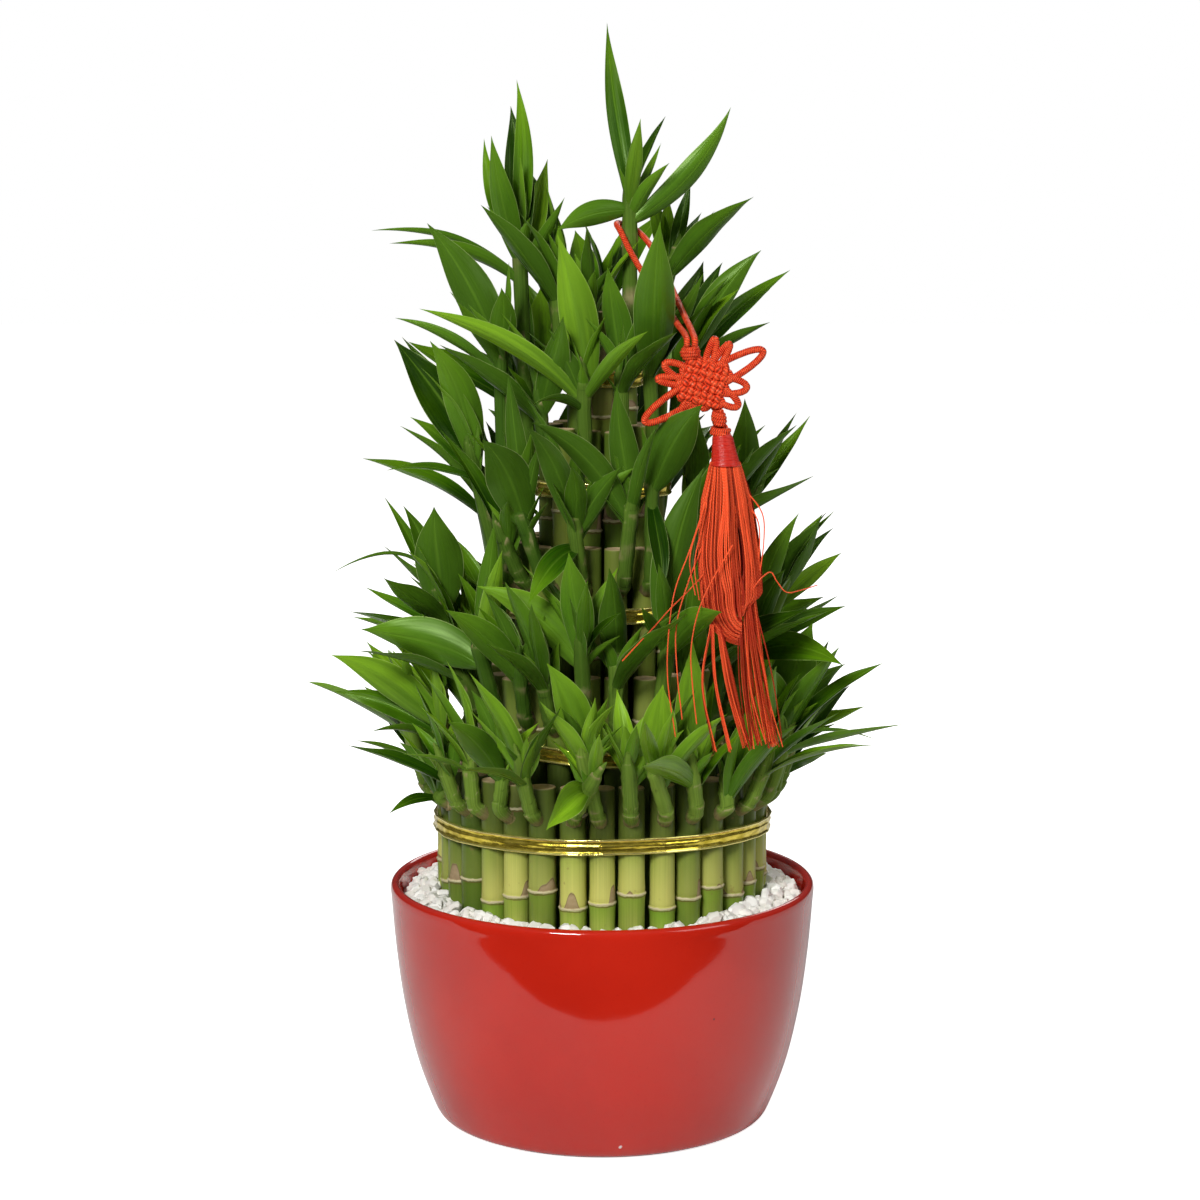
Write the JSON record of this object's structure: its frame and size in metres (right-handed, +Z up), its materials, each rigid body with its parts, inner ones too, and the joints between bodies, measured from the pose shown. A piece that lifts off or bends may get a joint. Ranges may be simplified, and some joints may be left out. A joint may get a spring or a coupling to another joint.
{
  "type": "lucky bamboo",
  "caption": "Lucky bamboo tower: stepped rings of cut canes tied with gold ribbon, leafy shoots, in a red glazed bowl of white pebbles, with a hanging red knot and tassel.",
  "frame": {"origin": "centre of the bowl's flat foot, on the surface that it stands on", "axes": "+Z up along the tower's axis, -Y towards the front that the picture shows, +X to its right"},
  "size_m": [0.2641, 0.2579, 0.485],
  "materials": {
    "pot_glaze": "gloss",
    "pebble": "satin",
    "cane": "satin",
    "leaf": "satin",
    "ribbon_gold": "gloss",
    "cord_red": "satin",
    "tassel_red": "satin"
  },
  "bodies": {
    "root": {"bowl": "pot_glaze", "pebbles": "pebble", "hanging_cord": "cord_red", "knot": "cord_red", "tassel": "tassel_red", "centre_cane": "cane", "ribbon_tier1": "ribbon_gold", "ribbon_tier2": "ribbon_gold", "ribbon_tier3": "ribbon_gold", "ribbon_tier4": "ribbon_gold", "ribbon_tier5": "ribbon_gold", "tier1_canes_1": "leaf", "tier1_canes_2": "leaf", "tier1_canes_3": "leaf", "tier1_canes_4": "leaf", "tier1_canes_5": "leaf", "tier1_canes_6": "leaf", "tier2_canes_1": "leaf", "tier2_canes_2": "leaf", "tier2_canes_3": "leaf", "tier2_canes_4": "leaf", "tier2_canes_5": "leaf", "tier2_canes_6": "leaf", "tier3_canes_1": "leaf", "tier3_canes_2": "leaf", "tier3_canes_3": "leaf", "tier3_canes_4": "leaf", "tier3_canes_5": "leaf", "tier3_canes_6": "leaf", "tier3_canes_7": "leaf", "tier3_canes_8": "leaf", "tier3_canes_9": "leaf", "tier4_canes_1": "leaf", "tier4_canes_2": "leaf", "tier4_canes_3": "leaf", "tier4_canes_4": "leaf", "tier4_canes_5": "leaf", "tier4_canes_6": "leaf", "tier4_canes_7": "leaf", "tier4_canes_8": "leaf", "tier4_canes_9": "leaf", "tier4_canes_10": "leaf", "tier4_canes_11": "leaf", "tier4_canes_12": "leaf", "tier5_canes_1": "leaf", "tier5_canes_2": "leaf", "tier5_canes_3": "leaf", "tier5_canes_4": "leaf", "tier5_canes_5": "leaf", "tier5_canes_6": "leaf", "tier5_canes_7": "leaf", "tier5_canes_8": "leaf", "tier5_canes_9": "leaf", "tier5_canes_10": "leaf", "tier5_canes_11": "leaf"}
  },
  "joints": []
}
